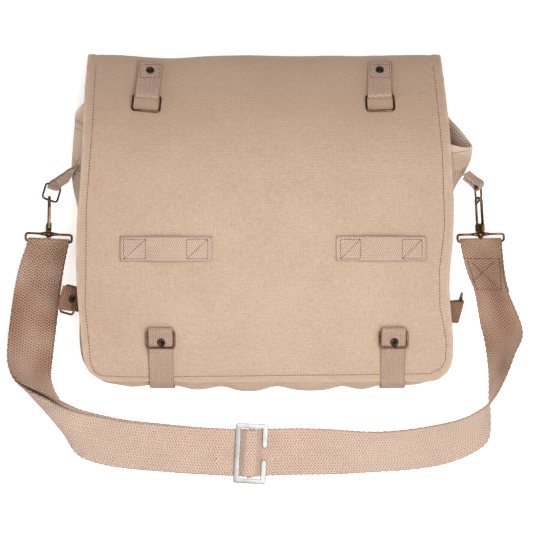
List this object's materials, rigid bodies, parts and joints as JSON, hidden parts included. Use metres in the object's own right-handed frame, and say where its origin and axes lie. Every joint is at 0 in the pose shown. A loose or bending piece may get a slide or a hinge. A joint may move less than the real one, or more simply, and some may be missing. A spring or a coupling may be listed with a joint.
{
  "type": "field bag",
  "caption": "Canvas field bag lying on its back, flap strapped down over the front, wire rings, side snap hooks and a wide webbing shoulder strap laid round it.",
  "frame": {"origin": "middle of the back panel, on its outer face, which the bag lies on", "axes": "+X to the right seen from the flap, +Y towards the flap's fold, +Z out of the flap"},
  "size_m": [0.5274, 0.4406, 0.0874],
  "materials": {
    "canvas": "woven cotton canvas, sand",
    "webbing": "woven cotton webbing, sand",
    "dark_metal": "oxidised steel wire and rivets",
    "bright_metal": "bright nickel plate"
  },
  "bodies": {
    "bag": {"back_panel": "canvas", "front_panel": "canvas", "gusset": "canvas", "flap": "canvas", "top_tab_left": "webbing", "top_tab_right": "webbing", "belt_loop_left": "webbing", "belt_loop_right": "webbing", "closure_strap_left": "webbing", "closure_strap_right": "webbing", "side_tab_left": "webbing", "side_tab_right": "webbing", "low_tab_left": "webbing", "low_tab_right": "webbing", "shoulder_strap": "webbing", "side_ring_left": "dark_metal", "side_ring_right": "dark_metal", "top_rivet_left": "dark_metal", "top_rivet_right": "dark_metal", "closure_rivet_left": "dark_metal", "closure_rivet_right": "dark_metal", "snap_hook_left": "dark_metal", "snap_hook_right": "dark_metal", "strap_loop_left": "dark_metal", "strap_loop_right": "dark_metal", "low_rivet_left": "dark_metal", "slider": "bright_metal"},
    "top_ring_left": {"top_ring_left": "dark_metal"},
    "top_ring_right": {"top_ring_right": "dark_metal"},
    "closure_ring_left": {"closure_ring_left": "dark_metal"},
    "closure_ring_right": {"closure_ring_right": "dark_metal"},
    "low_ring_left": {"low_ring_left": "dark_metal"},
    "low_ring_right": {"low_ring_right": "dark_metal"},
    "snap_gate_left": {"snap_gate_left": "dark_metal"},
    "snap_gate_right": {"snap_gate_right": "dark_metal"}
  },
  "joints": [
    {"name": "top_ring_left_swing", "type": "hinge", "parent": "bag", "child": "top_ring_left", "pos_m": [-0.11864, 0.1278, 0.0528], "axis": [-0.9958, 0.0872, -0.0284], "range_deg": [0, 150]},
    {"name": "top_ring_right_swing", "type": "hinge", "parent": "bag", "child": "top_ring_right", "pos_m": [0.11557, 0.12803, 0.05317], "axis": [-0.999, -0.0297, 0.032], "range_deg": [0, 150]},
    {"name": "closure_ring_left_swing", "type": "hinge", "parent": "bag", "child": "closure_ring_left", "pos_m": [-0.10433, -0.1093, 0.07651], "axis": [-0.9976, 0, -0.0696], "range_deg": [0, 150]},
    {"name": "closure_ring_right_swing", "type": "hinge", "parent": "bag", "child": "closure_ring_right", "pos_m": [0.12849, -0.10918, 0.07437], "axis": [-0.9946, 0, 0.1035], "range_deg": [0, 150]},
    {"name": "low_ring_left_swing", "type": "hinge", "parent": "bag", "child": "low_ring_left", "pos_m": [-0.2046, -0.077, 0.0412], "axis": [-0.2496, -0.9684, 0], "range_deg": [0, 140]},
    {"name": "low_ring_right_swing", "type": "hinge", "parent": "bag", "child": "low_ring_right", "pos_m": [0.1964, -0.0905, 0.0335], "axis": [-0.2001, -0.8803, -0.4301], "range_deg": [-25, 100]},
    {"name": "snap_gate_left_open", "type": "hinge", "parent": "bag", "child": "snap_gate_left", "pos_m": [-0.22148, -0.00515, 0.01636], "axis": [-0.9989, 0.0474, 0], "range_deg": [0, 8], "stiffness_Nm_per_rad": 0.03},
    {"name": "snap_gate_right_open", "type": "hinge", "parent": "bag", "child": "snap_gate_right", "pos_m": [0.21731, -0.00434, 0.01469], "axis": [0.3944, 0.361, -0.8451], "range_deg": [0, 8], "stiffness_Nm_per_rad": 0.03}
  ]
}
